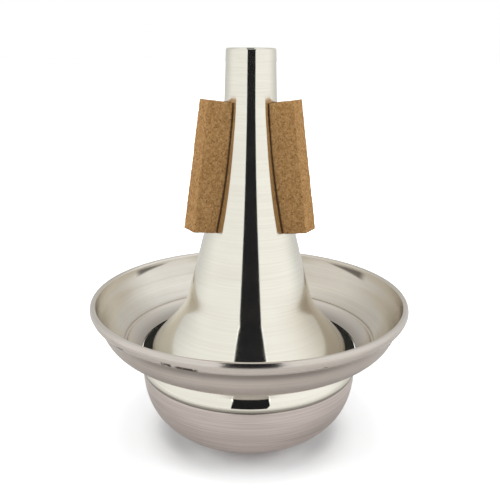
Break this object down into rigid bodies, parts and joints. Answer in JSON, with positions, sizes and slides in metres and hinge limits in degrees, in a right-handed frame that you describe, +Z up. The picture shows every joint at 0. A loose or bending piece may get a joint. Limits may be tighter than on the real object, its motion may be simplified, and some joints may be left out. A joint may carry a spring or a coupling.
{
  "type": "trumpet cup mute",
  "caption": "Metal trumpet cup mute: a hollow cone that flares into a rounded bulb, with cork strips on the cone and a lift-off shallow cup around the flare.",
  "frame": {"origin": "centre of the flat foot, on the surface that the mute stands on", "axes": "+Z up along the mute's axis towards its mouth, -Y towards the viewer of the picture, one cork strip on the +Y side"},
  "size_m": [0.112, 0.112, 0.1365],
  "materials": {
    "polished_metal": "polished",
    "satin_metal": "spun satin",
    "cup_metal": "bright spun",
    "cork": "raw cork",
    "grip_foam": "matt soft foam"
  },
  "bodies": {
    "body": {"cone_shell": "polished_metal", "bowl_shell": "satin_metal", "cork_strip_1": "cork", "cork_strip_2": "cork", "cork_strip_3": "cork"},
    "cup": {"cup_shell": "cup_metal", "grip_ring": "grip_foam"}
  },
  "joints": [
    {"name": "cup_slide", "type": "slide", "parent": "body", "child": "cup", "axis": [0, 0, 1], "range_m": [0, 0.11]}
  ]
}
